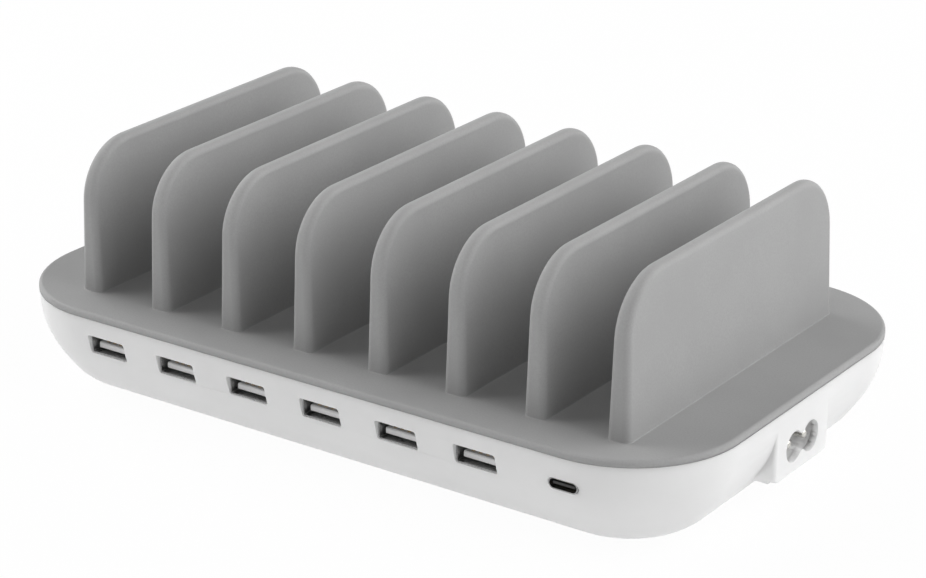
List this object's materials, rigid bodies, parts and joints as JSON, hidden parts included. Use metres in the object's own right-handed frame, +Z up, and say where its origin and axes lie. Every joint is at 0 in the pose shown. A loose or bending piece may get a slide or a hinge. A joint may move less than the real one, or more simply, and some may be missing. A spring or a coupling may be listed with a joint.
{
  "type": "charging station organizer",
  "caption": "Desktop charging station: white tub-shaped case with USB sockets along its front and a mains inlet at one end, and a grey deck with upright dividers that hold phones or tablets.",
  "frame": {"origin": "on the table, under the middle of the cover's outline", "axes": "+X along the row of dividers towards the mains inlet, +Y to the back, away from the sockets, +Z up"},
  "size_m": [0.2286, 0.1378, 0.0747],
  "materials": {
    "case_white": "fine satin moulding",
    "cover_grey": "soft matt touch coat",
    "foot_rubber": "matt",
    "socket_steel": "nickel-plated stamping",
    "insert_white": "moulded nylon",
    "contact_gold": "gold flash",
    "screw_steel": "zinc plated",
    "pin_nickel": "nickel plated",
    "board_green": "solder mask",
    "chip_black": "moulded epoxy",
    "wire_brown": "insulation",
    "wire_blue": "insulation",
    "wire_red": "insulation",
    "wire_black": "insulation",
    "fuse_glass": "glass tube with plated caps, opaque here",
    "capacitor_yellow": "box film capacitor",
    "capacitor_sleeve": "shrink sleeve",
    "capacitor_blue": "dipped disc",
    "ferrite": "sintered ferrite",
    "winding_copper": "enamelled wire",
    "heatsink_aluminium": "plain sheet"
  },
  "bodies": {
    "root": {"bottom_case": "case_white", "top_cover": "cover_grey", "case_screws": "screw_steel", "board_screws": "screw_steel", "port_board": "board_green", "power_board": "board_green", "charge_controllers": "chip_black", "usb_c_shell": "socket_steel", "usb_c_insert": "chip_black", "usb_c_contacts": "contact_gold", "usb_c_seat": "chip_black", "inlet_body": "case_white", "line_pin": "pin_nickel", "neutral_pin": "pin_nickel", "line_wire": "wire_brown", "neutral_wire": "wire_blue", "positive_lead": "wire_red", "negative_lead": "wire_black", "fuse": "fuse_glass", "x_capacitor": "capacitor_yellow", "mains_choke": "ferrite", "bridge_rectifier": "chip_black", "bulk_capacitor_1": "capacitor_sleeve", "bulk_capacitor_2": "capacitor_sleeve", "primary_heatsink": "heatsink_aluminium", "secondary_heatsink": "heatsink_aluminium", "power_transistor": "chip_black", "output_rectifier": "chip_black", "transformer_core": "ferrite", "transformer_bobbin": "chip_black", "transformer_winding": "winding_copper", "optocoupler": "chip_black", "pwm_controller": "chip_black", "y_capacitor": "capacitor_blue", "output_capacitors": "capacitor_sleeve", "rubber_foot_1": "foot_rubber", "rubber_foot_2": "foot_rubber", "rubber_foot_3": "foot_rubber", "rubber_foot_4": "foot_rubber", "usb_a_shell_1": "socket_steel", "usb_a_insert_1": "insert_white", "usb_a_contacts_1": "contact_gold", "usb_a_shell_2": "socket_steel", "usb_a_insert_2": "insert_white", "usb_a_contacts_2": "contact_gold", "usb_a_shell_3": "socket_steel", "usb_a_insert_3": "insert_white", "usb_a_contacts_3": "contact_gold", "usb_a_shell_4": "socket_steel", "usb_a_insert_4": "insert_white", "usb_a_contacts_4": "contact_gold", "usb_a_shell_5": "socket_steel", "usb_a_insert_5": "insert_white", "usb_a_contacts_5": "contact_gold", "usb_a_shell_6": "socket_steel", "usb_a_insert_6": "insert_white", "usb_a_contacts_6": "contact_gold"}
  },
  "joints": []
}
